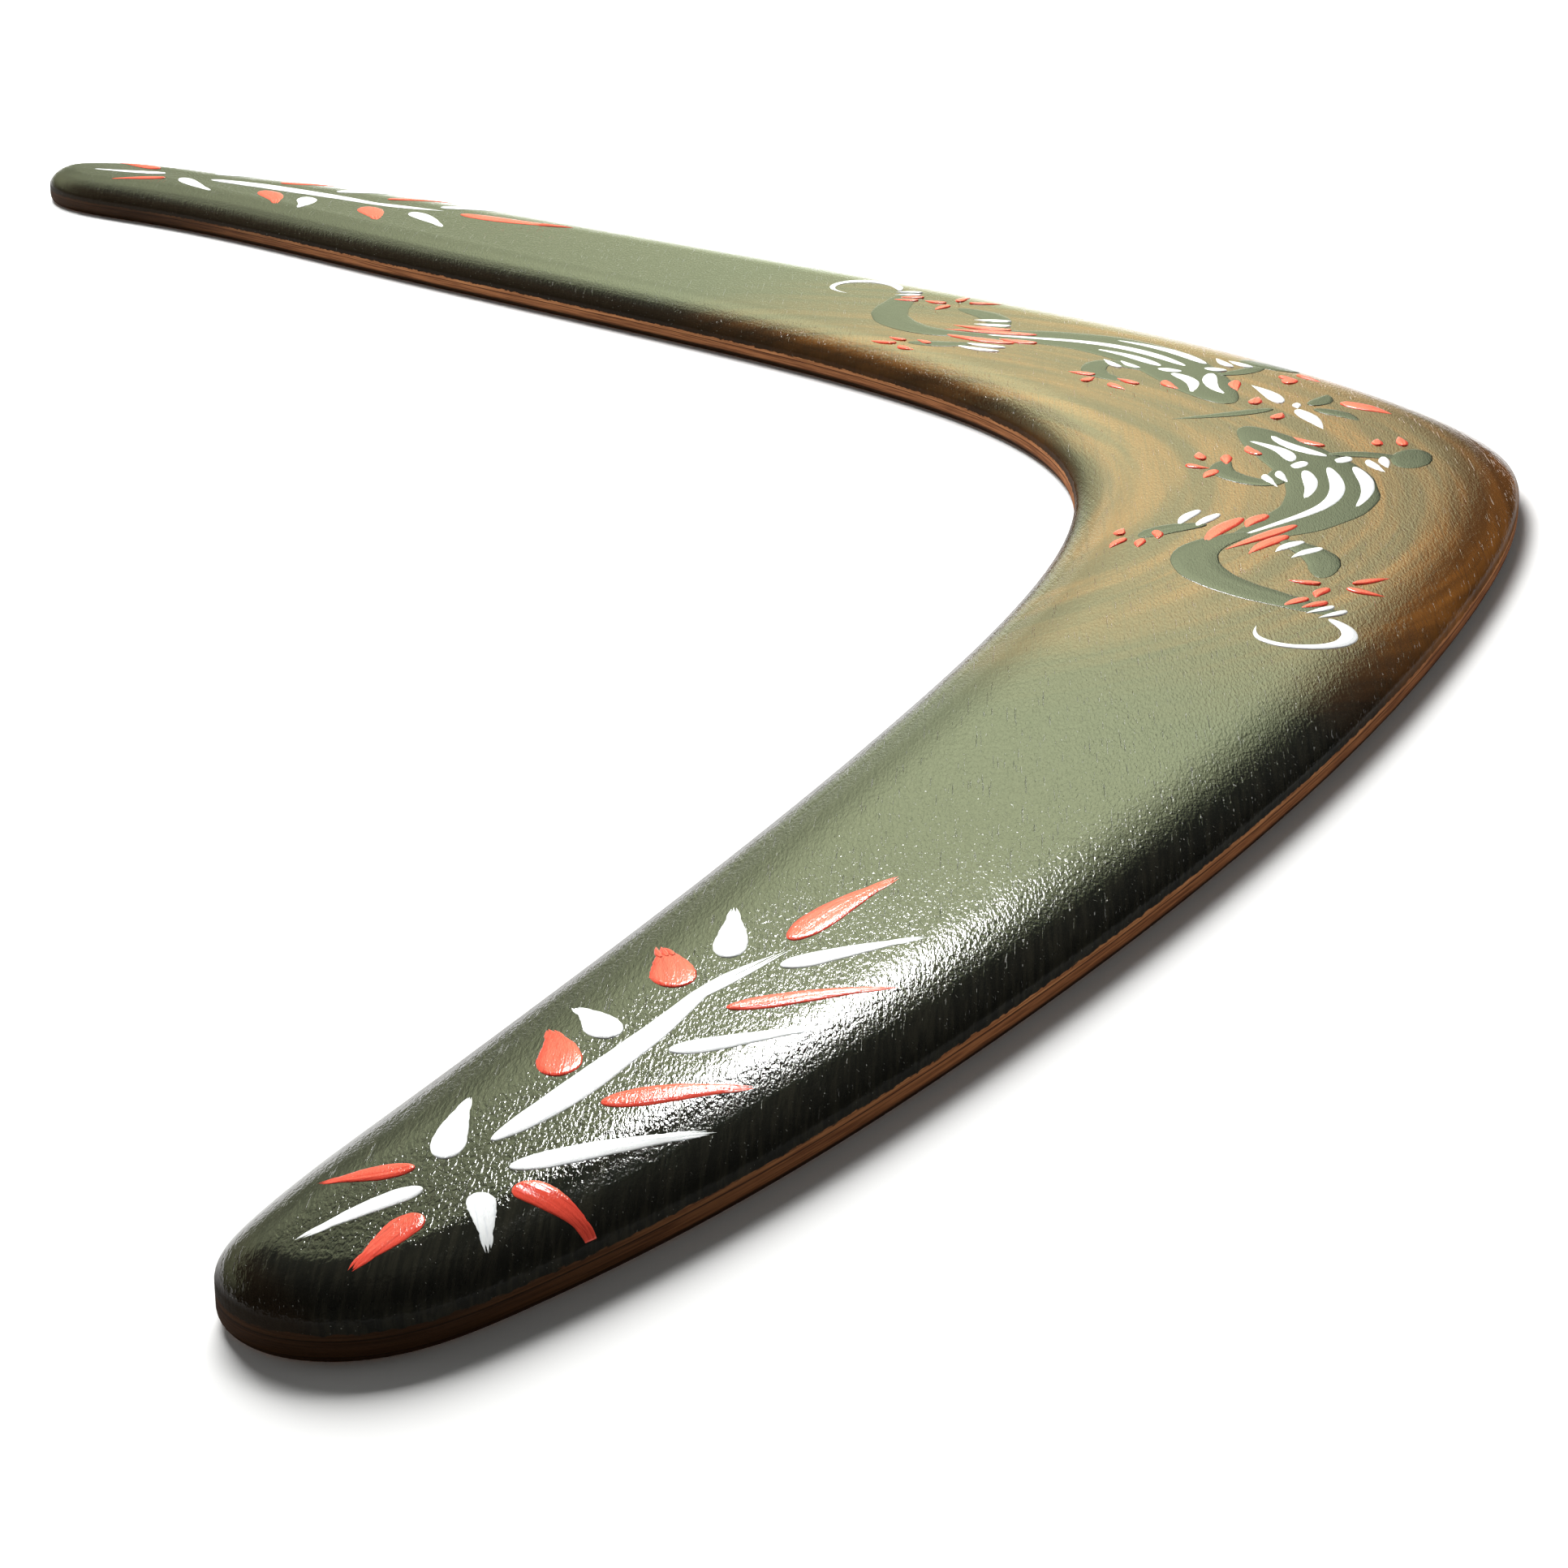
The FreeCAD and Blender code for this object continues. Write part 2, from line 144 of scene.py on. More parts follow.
def ring(height):
    """The rim of the board at one height."""
    if height < BAND_BOTTOM:
        inset = LOWER_ROUND * (1 - math.sqrt(1 - (1 - height / BAND_BOTTOM) ** 2))
    elif height <= BAND_TOP:
        inset = 0.0
    else:
        rise = min(1.0, (height - BAND_TOP) / (TOP - BAND_TOP))
        inset = (1 - math.sqrt(1 - rise * rise)) * rim_bevel[:, None]
    place = rim_place + rim_inward * inset
    return np.column_stack([place, np.full(RIM_COUNT, height)]) * MM


def ring_heights(low, high):
    """Heights of the rings of one layer, close together where the surface curves."""
    bevel = BAND_TOP + (TOP - BAND_TOP) * np.sin(np.radians(np.arange(0.0, 90.1, BEVEL_STEP)))
    lower = BAND_BOTTOM * (1 - np.cos(np.radians(np.arange(0.0, 90.1, LOWER_STEP))))
    every = np.unique(np.round(np.concatenate([lower, bevel]), 4))
    inside = every[(every > low + RING_GAP) & (every < high - RING_GAP)]
    return [low, *inside, high]


def finish_mesh(name, vertices, faces, node, material):
    """A piece that stands for one CAD node."""
    mesh = bpy.data.meshes.new(name)
    mesh.from_pydata([tuple(v) for v in vertices], [], faces)
    mesh.shade_smooth()
    mesh.materials.append(material)
    piece = bpy.data.objects.new(name, mesh)
    bpy.context.collection.objects.link(piece)
    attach(piece, "root")
    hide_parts(node)
    return piece


def make_layer(node, material):
    """One veneer or glue line as a closed solid, between its heights in the frame, which
    are whole tenths of a millimetre but for the small errors of its mesh."""
    low, high = [round(corner.z / MM, 1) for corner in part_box(node)]
    heights = ring_heights(low, high)
    vertices = np.vstack([ring(height) for height in heights])
    faces = []
    for k in range(len(heights) - 1):
        a, b = k * RIM_COUNT, (k + 1) * RIM_COUNT
        for i in range(RIM_COUNT):
            j = (i + 1) % RIM_COUNT
            faces.append((a + i, a + j, b + j, b + i))
    last = (len(heights) - 1) * RIM_COUNT
    faces.append(tuple(range(RIM_COUNT - 1, -1, -1)))
    faces.append(tuple(range(last, last + RIM_COUNT)))
    piece = finish_mesh(node + "_shaped", vertices, faces, node, material)

    # the rims of a layer are sharp, all but the one where the bevel meets the flat top
    edges = np.empty(len(piece.data.edges) * 2, int)
    piece.data.edges.foreach_get("vertices", edges)
    edges = edges.reshape(-1, 2)
    sharp = (edges < RIM_COUNT).all(1)
    if high < TOP:
        sharp |= (edges >= last).all(1)
    flags = piece.data.attributes.new("sharp_edge", "BOOLEAN", "EDGE")
    flags.data.foreach_set("value", sharp)


# ---------------------------------------------------------------- materials
GRAIN_ANGLE = -14.0             # degrees
COAT_IOR = 1.5
PLY_SEAM = 2.05                 # height of the dark seam in the bare edge
LOW_EDGE_SHADE_HEIGHTS = (1.35, 0.75)        # the lower edge is painted black between these heights, as painted shade
PAINT_END = BAND_TOP - 0.95     # the lowest the paint runs down the edge
PAINT_JAG = 0.8                 # and how much further up it ends in places
BROWN_CENTER = (19.7, 58.0)     # the stain is brown round here
BROWN_TO_BLACK = (62.0, 128.0)  # distances from there over which it turns black
SPRAYED_EDGE = (195.0, 262.0)   # and over which the black covers the bare edge too
STAIN_CLOUD = 34.0              # how far the clouds of stain shift those distances
STREAK_CENTER = (25.0, -22.0)   # the streaks of stain bend round here
STREAKS_ACROSS = 260.0          # how fast they change across them, per metre,
STREAKS_ALONG = 16.0            # and along them
GLOSS_HEIGHTS = (BAND_TOP + 0.1, BAND_TOP + 1.8)    # the lacquer turns glossy between these
RIDGE_HEIGHTS = (5.35, 5.05)    # the carved ridges of the bevel fade in downwards,
GLINT_HEIGHTS = (5.8, 5.4)      # and so do its pale specks, which are painted highlights
CUT_GRAIN_START = (5.15, 5.3)   # the rough cut grain fades in upwards
CUT_GRAIN_END = (5.72, 5.5)     # and out again

BROWN_DARK = (0.100, 0.040, 0.010)
BROWN_LIGHT = (0.260, 0.098, 0.018)
BROWN_GRAIN = (0.055, 0.020, 0.008)
BLACK_DARK = (0.010, 0.010, 0.008)
BLACK_LIGHT = (0.019, 0.018, 0.013)
INNER_BEVEL_SHADE = (0.014, 0.009, 0.005)
GLINT_GRAY = (0.22, 0.23, 0.20)
SEAM_BROWN = (0.03, 0.012, 0.006)
# black of the stain where it runs over the edge, and of the painted shade on the lower edge
STAIN_AND_SHADE_BLACK = (0.012, 0.007, 0.004)


class Shader:
    """The node tree of a material or of the world, built from small helpers."""

    def __init__(self, name, group=bpy.data.materials):
        self.owner = group.new(name)
        self.owner.use_nodes = True
        self.tree = self.owner.node_tree
        self.tree.nodes.clear()

    def node(self, kind, inputs, **settings):
        made = self.tree.nodes.new(kind)
        for key, value in settings.items():
            setattr(made, key, value)
        for key, value in inputs.items():
            if isinstance(value, bpy.types.NodeSocket):
                self.tree.links.new(value, made.inputs[key])
            else:
                made.inputs[key].default_value = value
        return made

    def math(self, operation, a, b=0.0):
        return self.node("ShaderNodeMath", {0: a, 1: b}, operation=operation).outputs[0]

    def times(self, a, b):
        return self.math("MULTIPLY", a, b)

    def plus(self, a, b):
        return self.math("ADD", a, b)

    def minus(self, a, b):
        return self.math("SUBTRACT", a, b)

    def coordinates(self, kind):
        return self.node("ShaderNodeTexCoord", {}).outputs[kind]

    def axes(self, vector):
        return self.node("ShaderNodeSeparateXYZ", {0: vector}).outputs

    def distance(self, vector, center=(0.0, 0.0)):
        """Distance in metres from a place in plan (mm), whatever the height."""
        flat = self.node("ShaderNodeVectorMath", {0: vector, 1: (1, 1, 0)}, operation="MULTIPLY")
        goal = (center[0] * MM, center[1] * MM, 0.0)
        return self.node("ShaderNodeVectorMath", {0: flat.outputs[0], 1: goal},
                         operation="DISTANCE").outputs["Value"]

    def stretched(self, vector, angle, size):
        """Coordinates turned by an angle (degrees) and divided by sizes (mm)."""
        made = self.node("ShaderNodeMapping", {
            "Vector": vector, "Rotation": (0, 0, math.radians(angle)),
            "Scale": tuple(s * MM for s in size)}, vector_type="TEXTURE")
        return made.outputs[0]

    def noise(self, vector, detail=2.0, rough=0.5, scale=1.0, bend=0.0):
        return self.node("ShaderNodeTexNoise", {
            "Vector": vector, "Scale": scale, "Detail": detail, "Roughness": rough,
            "Distortion": bend}).outputs["Fac"]

    def between(self, value, zero, one):
        """0 at the first limit, 1 at the second, smooth between them."""
        return self.node("ShaderNodeMapRange", {
            "Value": value, "From Min": zero, "From Max": one},
            interpolation_type="SMOOTHSTEP").outputs[0]

    def blend(self, share, a, b, mode="MIX"):
        """Two colors mixed by a share."""
        made = self.node("ShaderNodeMix", {0: share}, data_type="RGBA", blend_type=mode)
        for socket, value in ((made.inputs[6], a), (made.inputs[7], b)):
            if isinstance(value, bpy.types.NodeSocket):
                self.tree.links.new(value, socket)
            else:
                socket.default_value = (*value, 1.0)
        return made.outputs[2]

    def bump(self, height, depth, normal=None):
        """Relief of a given depth in mm."""
        inputs = {"Height": height, "Distance": depth * MM, "Strength": 1.0}
        if normal:
            inputs["Normal"] = normal
        return self.node("ShaderNodeBump", inputs).outputs[0]

    def surface(self, **inputs):
        names = {key.replace("_", " "): value for key, value in inputs.items()}
        for key, value in names.items():
            if isinstance(value, tuple) and len(value) == 3:
                names[key] = (*value, 1.0)
        made = self.node("ShaderNodeBsdfPrincipled", names)
        out = self.node("ShaderNodeOutputMaterial", {})
        self.tree.links.new(made.outputs[0], out.inputs["Surface"])
        return self.owner


def bare_wood(s, place, z, on_edge, fibre, light, dark):
    """Fine fibres along the edge with one dark seam, and coarser grain on the underside."""
    under = s.noise(s.stretched(place, 0.0, (22.0, 0.9, 3.0)), detail=5.0, rough=0.62, bend=0.3)
    figure = s.between(s.blend(on_edge, under, fibre), 0.34, 0.66)
    wood = s.blend(figure, dark, light)
    seam = s.between(s.math("ABSOLUTE", s.minus(z, PLY_SEAM)), 0.1, 0.02)
    return s.blend(s.times(seam, 0.6), wood, SEAM_BROWN)


def stain_reach(s, place):
    """Distance from the middle of the brown stain in mm, shifted to and fro by clouds."""
    cloud = s.noise(place, detail=3.0, rough=0.6, scale=28.0)
    reach = s.times(s.distance(place, BROWN_CENTER), 1 / MM)
    return s.plus(reach, s.times(s.minus(cloud, 0.5), STAIN_CLOUD))


def stained_wood(s, place, z, reach):
    """Warm brown round the elbow, in streaks that follow its bend, and black further out."""
    x, y = s.axes(place)[:2]
    bent = s.node("ShaderNodeCombineXYZ", {
        0: s.times(s.distance(place, STREAK_CENTER), STREAKS_ACROSS),
        1: s.times(x, STREAKS_ALONG), 2: s.times(y, STREAKS_ALONG)}).outputs[0]
    streak = s.between(s.noise(bent, detail=3.0, rough=0.55), 0.36, 0.68)
    grain = s.noise(s.stretched(place, GRAIN_ANGLE, (14.0, 0.45, 2.0)), detail=4.0, rough=0.6)
    brown = s.blend(streak, BROWN_DARK, BROWN_LIGHT)
    brown = s.blend(s.times(s.between(grain, 0.45, 0.7), 0.35), brown, BROWN_GRAIN)
    black = s.blend(s.between(grain, 0.4, 0.65), BLACK_DARK, BLACK_LIGHT)
    stain = s.blend(s.between(reach, *BROWN_TO_BLACK), brown, black)
    # the bevel of the inner edge faces -Y and is painted darker by the way it faces: painted
    # shade
    facing = s.axes(s.coordinates("Normal"))[1]
    inner_bevel_shade = s.times(s.between(facing, -0.12, -0.45), 0.85)
    stain = s.blend(inner_bevel_shade, stain, INNER_BEVEL_SHADE)
    # pale specks on the cut grain of the bevel are painted highlights, glints of light painted
    # into the colour
    glint = s.between(s.noise(s.stretched(place, 20.0, (0.5, 0.3, 0.3)), rough=0.6), 0.70, 0.74)
    glint = s.times(s.times(glint, s.between(z, *GLINT_HEIGHTS)), 0.5)
    return s.blend(glint, stain, GLINT_GRAY)


def lacquer_relief(s, place, z, cut_grain):
    """Soft waves, lacquer skin, pores along the grain and rough cut grain on the bevel."""
    wave = s.noise(s.stretched(place, GRAIN_ANGLE, (5.0, 1.6, 1.6)))
    skin = s.noise(s.stretched(place, GRAIN_ANGLE, (1.0, 0.30, 0.30)), rough=0.55, bend=0.3)
    pore = s.between(s.noise(s.stretched(place, GRAIN_ANGLE, (7.0, 0.22, 0.5))), 0.66, 0.74)
    ridge = s.noise(s.stretched(place, -4.0, (5.0, 0.42, 5.0)))
    dots = s.noise(s.stretched(place, 30.0, (0.45, 0.45, 0.3)), detail=3.0, rough=0.6)
    relief = s.bump(wave, 0.016)
    relief = s.bump(skin, 0.048, relief)
    relief = s.bump(s.times(pore, -1.0), 0.02, relief)
    relief = s.bump(s.times(ridge, s.between(z, *RIDGE_HEIGHTS)), 0.055, relief)
    return s.bump(s.times(dots, cut_grain), 0.03, relief)


def board_material(name, bare_light, bare_dark):
    """Bare wood on the edge and the underside, with painted shade along the lower edge, and stain
    and gloss lacquer above the band.
    """
    s = Shader(name)
    place = s.coordinates("Object")
    z = s.times(s.axes(place)[2], 1 / MM)
    on_edge = s.between(z, 0.02, 0.3)
    reach = stain_reach(s, place)

    fibre = s.noise(s.stretched(place, GRAIN_ANGLE, (9.0, 9.0, 0.16)), detail=4.0, rough=0.6)
    bare = bare_wood(s, place, z, on_edge, fibre, bare_light, bare_dark)
    # near the tips the black stain runs over the bare edge; the lower edge is painted black as
    # well, as painted shade
    sprayed = s.times(s.between(reach, *SPRAYED_EDGE), 0.93)
    shaded_low_edge = s.times(s.between(z, *LOW_EDGE_SHADE_HEIGHTS), on_edge)
    stain_and_shade = s.math("MAXIMUM", sprayed, s.times(shaded_low_edge, 0.96))
    bare = s.blend(s.times(stain_and_shade, on_edge), bare, STAIN_AND_SHADE_BLACK)

    jag = s.noise(s.stretched(place, 0.0, (1.3, 1.3, 0.5)), detail=4.0, rough=0.65)
    paint_edge = s.plus(PAINT_END, s.times(jag, PAINT_JAG))
    painted = s.between(s.minus(z, paint_edge), -0.05, 0.07)
    lacquered = s.times(painted, s.between(z, *GLOSS_HEIGHTS))
    cut_grain = s.times(s.between(z, *CUT_GRAIN_START), s.between(z, *CUT_GRAIN_END))
    matte = s.math("MAXIMUM", s.minus(1.0, painted), s.times(cut_grain, 0.3))
    relief = s.node("ShaderNodeMix", {
        0: painted, 4: s.bump(fibre, 0.05), 5: lacquer_relief(s, place, z, cut_grain)},
        data_type="VECTOR").outputs[1]
    return s.surface(
        Base_Color=s.blend(painted, bare, stained_wood(s, place, z, reach)), Roughness=0.62,
        Specular_IOR_Level=0.0, Normal=relief, Coat_Normal=relief, Coat_IOR=COAT_IOR,
        Coat_Weight=s.plus(s.times(lacquered, 0.92), 0.06),
        Coat_Roughness=s.blend(matte, (0.045, 0.045, 0.045), (0.34, 0.34, 0.34)))


def paint_material(name, full, thin, streaks, depth, gloss=0.9):
    """Thick gloss paint, with bristle lines along each stroke where the paint is thin."""
    s = Shader(name)
    brush = s.node("ShaderNodeAttribute", {}, attribute_name="brush").outputs["Vector"]
    lines = s.noise(s.stretched(brush, 0.0, (9.0, 0.22, 1.0)), detail=3.0, rough=0.6)
    skin = s.noise(s.stretched(s.coordinates("Object"), GRAIN_ANGLE, (0.75, 0.2, 0.2)),
                   rough=0.6, bend=0.3)
    worn = s.times(s.between(lines, 0.5, 0.66), streaks)
    relief = s.bump(lines, depth, s.bump(skin, 0.030))
    return s.surface(
        Base_Color=s.blend(worn, full, thin), Roughness=0.55, Specular_IOR_Level=0.0,
        Normal=relief, Coat_Normal=relief, Coat_IOR=COAT_IOR, Coat_Weight=gloss,
        Coat_Roughness=0.09)


veneer = board_material("veneer_wood", (0.42, 0.185, 0.075), (0.20, 0.075, 0.030))
crossband = board_material("crossband_wood", (0.33, 0.135, 0.055), (0.14, 0.052, 0.022))
glue = board_material("glue_line_resin", (0.10, 0.040, 0.018), (0.05, 0.020, 0.010))
white_paint = paint_material(
    "white_acrylic", (0.94, 0.96, 0.95), (0.62, 0.67, 0.72), streaks=0.4, depth=0.012)
red_paint = paint_material(
    "red_acrylic", (0.80, 0.082, 0.050), (0.50, 0.040, 0.028), streaks=0.6, depth=0.018)
black_paint = paint_material(
    "black_acrylic", (0.012, 0.016, 0.013), (0.02, 0.024, 0.02), streaks=0.5, depth=0.003,
    gloss=0.85)

make_layer("back_face_ply", veneer)
make_layer("back_glue_line", glue)
make_layer("lower_crossband_ply", crossband)
make_layer("lower_core_glue_line", glue)
make_layer("core_ply", veneer)
make_layer("upper_core_glue_line", glue)
make_layer("upper_crossband_ply", crossband)
make_layer("top_glue_line", glue)
make_layer("top_face_ply", veneer)

# ---------------------------------------------------------------- the drawing
# A stroke is (width, peak, path), as in the CAD model: round at its start, widest at the
# share "peak" and running out to a fine point, or round at both ends where blunt.
spray_stem = [
    (3.0, 0.28, [(209.4, 21.4), (202.9, 27.5), (197.8, 31.6), (189.6, 37.8), (181.6, 43.8),
                 (177.5, 48.9)]),
]
spray_white = [
    (2.7, 0.2, [(214.3, 22.2), (211.9, 29.6), (209.4, 38.2)]),
    (2.7, 0.2, [(195.7, 36.9), (194.4, 43.2), (193.0, 49.8)]),
    (2.7, 0.2, [(180.3, 48.8), (178.2, 54.5), (176.2, 62.0)]),
    (3.0, 0.25, [(177.5, 44.7), (172.5, 46.0), (166.4, 47.2)]),
    (3.3, 0.3, [(192.3, 32.4), (188.8, 32.3), (184.8, 30.8)]),
    (2.7, 0.25, [(211.8, 17.6), (206.0, 19.0), (201.0, 20.6)]),
]
spray_red = [
    (3.3, 0.3, [(174.7, 50.7), (169.3, 55.0), (161.6, 63.0)]),
    (2.7, 0.3, [(188.1, 42.8), (186.9, 49.6), (186.0, 57.2)]),
    (3.3, 0.3, [(204.5, 30.3), (203.4, 35.7), (203.0, 42.4)]),
    (4.0, 0.3, [(183.0, 39.3), (178.5, 39.8), (173.4, 39.7)]),
    (3.7, 0.3, [(198.7, 27.4), (194.3, 28.4), (188.8, 28.2)]),
]
burst_white = [
    (2.2, 0.2, [(217.9, 19.6), (221.4, 19.5), (225.4, 19.4)]),
    (2.1, 0.2, [(216.2, 15.6), (219.0, 11.2), (222.6, 6.4)]),
]
burst_red = [  # the first ends 0.8 mm short of the one in the CAD model
    (3.2, 0.2, [(217.0, 22.4), (220.2, 25.4), (222.8, 27.5)]),
    (2.6, 0.25, [(220.4, 15.0), (224.1, 12.5), (227.7, 9.8)]),
    (2.4, 0.35, [(212.6, 15.4), (213.4, 12.0), (213.8, 8.4)]),
]
figure_black = [
    (5.5, 0.5, [(20.5, 164.4), (25.0, 162.3), (30.0, 159.8)]),
    (12.0, 0.5, [(3.5, 146.5), (18.0, 147.6), (36.0, 147.4), (49.0, 141.0), (59.0, 127.0)]),
    (6.0, 0.5, [(56.0, 130.5), (62.0, 122.0), (74.0, 119.5), (84.0, 124.0), (92.0, 129.0)]),
    (4.4, 0.5, [(60.0, 132.5), (68.0, 134.6), (77.0, 131.8)]),
    (3.6, 0.5, [(51.5, 126.0), (52.6, 121.0), (55.6, 116.4)]),
    (3.8, 0.5, [(27.0, 143.0), (33.5, 139.4), (28.0, 136.0), (21.0, 138.4)]),
    (3.2, 0.5, [(21.0, 152.0), (22.0, 157.0), (25.0, 161.0)]),
]
figure_white = [
    (2.1, 0.3, [(28.0, 153.3), (37.0, 151.8), (45.0, 148.2), (50.2, 144.6)]),
    (2.2, 0.25, [(27.6, 149.9), (38.0, 147.5), (46.0, 143.0), (52.0, 136.0), (60.2, 124.6)]),
    (2.1, 0.3, [(28.6, 146.4), (37.0, 144.3), (44.4, 140.4)]),
    (2.4, 0.3, [(22.0, 151.6), (17.0, 149.3), (12.0, 148.2), (6.8, 148.5)]),
    (2.4, 0.3, [(23.8, 146.2), (18.0, 146.8), (13.0, 145.0), (9.8, 143.5)]),
    (2.2, 0.5, [(23.0, 154.4), (24.4, 153.0), (26.0, 151.8)]),
    (2.2, 0.5, [(24.2, 147.9), (26.0, 146.4), (27.8, 145.2)]),
    (1.5, 0.4, [(23.8, 158.8), (26.5, 158.0), (29.4, 157.4)]),
    (1.5, 0.4, [(25.0, 156.2), (28.0, 156.0), (31.4, 156.3)]),
    (1.4, 0.4, [(28.3, 143.0), (31.0, 142.3), (34.2, 142.3)]),
    (1.4, 0.4, [(29.6, 140.6), (32.4, 140.2), (35.8, 140.3)]),
    (1.6, 0.4, [(45.0, 127.2), (48.0, 124.4), (51.6, 122.4)]),
    (1.6, 0.4, [(47.2, 129.0), (50.0, 126.2), (53.0, 123.8)]),
    (1.8, 0.4, [(61.6, 135.0), (63.0, 132.6), (65.2, 130.2)]),
    (1.8, 0.4, [(64.8, 136.2), (66.2, 133.8), (68.0, 131.2)]),
    (1.9, 0.3, [(93.0, 127.2), (98.0, 127.8), (102.2, 124.6), (102.0, 120.0), (98.0, 117.4),
                (93.6, 118.6)]),
    (1.3, 0.4, [(90.4, 130.2), (91.4, 128.4), (92.2, 126.2)]),
    (1.3, 0.4, [(88.4, 129.4), (89.4, 127.6), (90.2, 125.4)]),
]
figure_red = [
    (2.2, 0.35, [(48.8, 134.6), (51.5, 131.8), (54.0, 130.2)]),
    (2.4, 0.35, [(49.6, 131.2), (54.5, 126.6), (60.8, 122.6)]),
    (2.2, 0.35, [(54.2, 136.6), (58.4, 130.8), (63.0, 124.6)]),
    (2.2, 0.35, [(58.6, 134.0), (61.8, 130.0), (65.4, 126.8)]),
    (1.9, 0.35, [(16.6, 153.2), (14.0, 151.8), (10.6, 150.8)]),
    (1.8, 0.35, [(19.6, 143.4), (17.0, 142.9), (13.8, 143.4)]),
    (1.6, 0.35, [(18.6, 163.6), (16.0, 164.2), (13.2, 164.8)]),
    (1.6, 0.35, [(17.6, 160.4), (16.0, 160.8), (13.8, 161.6)]),
    (1.6, 0.35, [(18.6, 139.0), (21.0, 138.2), (23.6, 137.4)]),
    (1.6, 0.35, [(20.4, 135.2), (18.4, 135.4), (16.0, 136.0)]),
    (1.8, 0.35, [(22.4, 132.4), (24.0, 133.4), (24.8, 134.8)]),
    (1.8, 0.35, [(26.0, 135.2), (27.8, 133.8), (29.6, 132.4)]),
    (1.5, 0.35, [(53.2, 119.0), (55.0, 118.8), (56.8, 118.2)]),
    (1.4, 0.35, [(56.6, 116.4), (58.0, 115.6), (60.0, 114.8)]),
    (1.5, 0.35, [(53.8, 114.4), (52.2, 114.8), (50.6, 115.8)]),
    (1.4, 0.35, [(55.6, 114.6), (57.0, 113.0), (59.0, 111.6)]),
    (1.7, 0.35, [(80.2, 134.6), (79.4, 136.8), (78.6, 139.6)]),
    (1.7, 0.35, [(81.6, 133.4), (83.6, 134.6), (85.4, 136.6)]),
    (1.7, 0.35, [(79.4, 131.0), (78.4, 129.4), (77.0, 127.8)]),
    (1.7, 0.35, [(81.4, 131.2), (82.8, 129.6), (84.6, 128.6)]),
    (1.7, 0.35, [(84.6, 127.6), (85.8, 125.6), (87.0, 123.8)]),
    (1.7, 0.35, [(86.6, 129.2), (87.4, 127.4), (88.2, 125.4)]),
]
center_black = [
    (2.8, 0.3, [(-5.6, 153.4), (-3.8, 147.0), (-2.6, 137.6)]),
    (3.2, 0.4, [(-4.4, 159.0), (-1.0, 161.4), (3.6, 162.8)]),
    (3.2, 0.4, [(-6.4, 159.2), (-9.0, 161.8), (-12.6, 163.8)]),
]
center_white = [
    (2.5, 0.35, [(-8.6, 155.5), (-14.0, 155.9), (-20.4, 155.1)]),
    (2.5, 0.35, [(-4.4, 156.5), (1.0, 156.7), (7.2, 156.3)]),
    (1.3, 0.4, [(-8.0, 157.8), (-6.6, 157.2), (-5.2, 156.9)]),
]
center_red = [
    (2.0, 0.35, [(-8.8, 151.8), (-10.8, 152.6), (-13.2, 153.8)]),
    (2.0, 0.35, [(0.4, 151.8), (-1.4, 152.8), (-3.2, 154.0)]),
    (3.4, 0.4, [(-7.4, 164.0), (-4.6, 165.8), (0.4, 168.6)]),
    (2.4, 0.4, [(-20.0, 160.4), (-22.0, 161.4), (-25.0, 161.8)]),
]


# The left arm's spray and figure are the right arm's, mirrored, turned (by the tangent of
# the turn) and drawn larger about their middles.
LEFT_SPRAY = {"middle": (188.7, 33.6), "left_middle": (-202.0, 32.9), "turn": 0.038,
              "growth": 1.42, "width_growth": 1.15}
LEFT_FIGURE = {"middle": (48.2, 133.1), "left_middle": (-53.2, 130.8), "turn": 0.093,
               "growth": 1.0, "width_growth": 1.0}


def mirrored(strokes, middle, left_middle, turn, growth, width_growth):
    """Strokes of the left side, from those of the right side."""
    def move(x, y):
        along = middle[0] - x
        across = y - middle[1]
        return (growth * (along - turn * across) + left_middle[0],
                growth * (turn * along + across) + left_middle[1])

    return [(width * width_growth, peak, [move(x, y) for x, y in path])
            for width, peak, path in strokes]


# ---------------------------------------------------------------- shape of a brush stroke
ROWS = 43                   # along a stroke
COLUMNS = 17                # across its top
RIM_MARGIN = 0.12           # paint stays this far inside the rim of the board
PAINT_FOOT = -0.05          # its underside lies this deep in the wood
PAINT_EDGE = 0.02           # and its outline this deep
FIRST_ROW_GAP = 0.01        # the round end closes this far before the first row
FINE_END = 1.6              # power of the taper of the pointed end
DOME_FLATNESS = 4.0         # powers that shape the dome across a stroke
DOME_POWER = 0.7
THIN_END = 0.55             # the share of its thickness that a stroke loses to its end
BRISTLE_RIDGES = 0.07       # height of the bristle ridges, as a share of the thickness
ANY_PHASE = (0, 6.28)       # of a ripple, in radians
TAIL_START = 0.72           # the hairs of the brush leave a stroke at this share of its path,
TAIL_SPREAD = 0.13          # this far to the sides, as a share of its width,
TAIL_WIDTH = 0.16           # with this share of its width
TAIL_PEAK = 0.3
HAIR_WIDTH = 0.6            # strokes finer than this are hairs,
HAIR_THICKNESS = 0.35       # and this share as thick

rim_tree = kdtree.KDTree(RIM_COUNT)
for index, (px, py) in enumerate(rim_place):
    rim_tree.insert((px, py, 0.0), index)
rim_tree.balance()


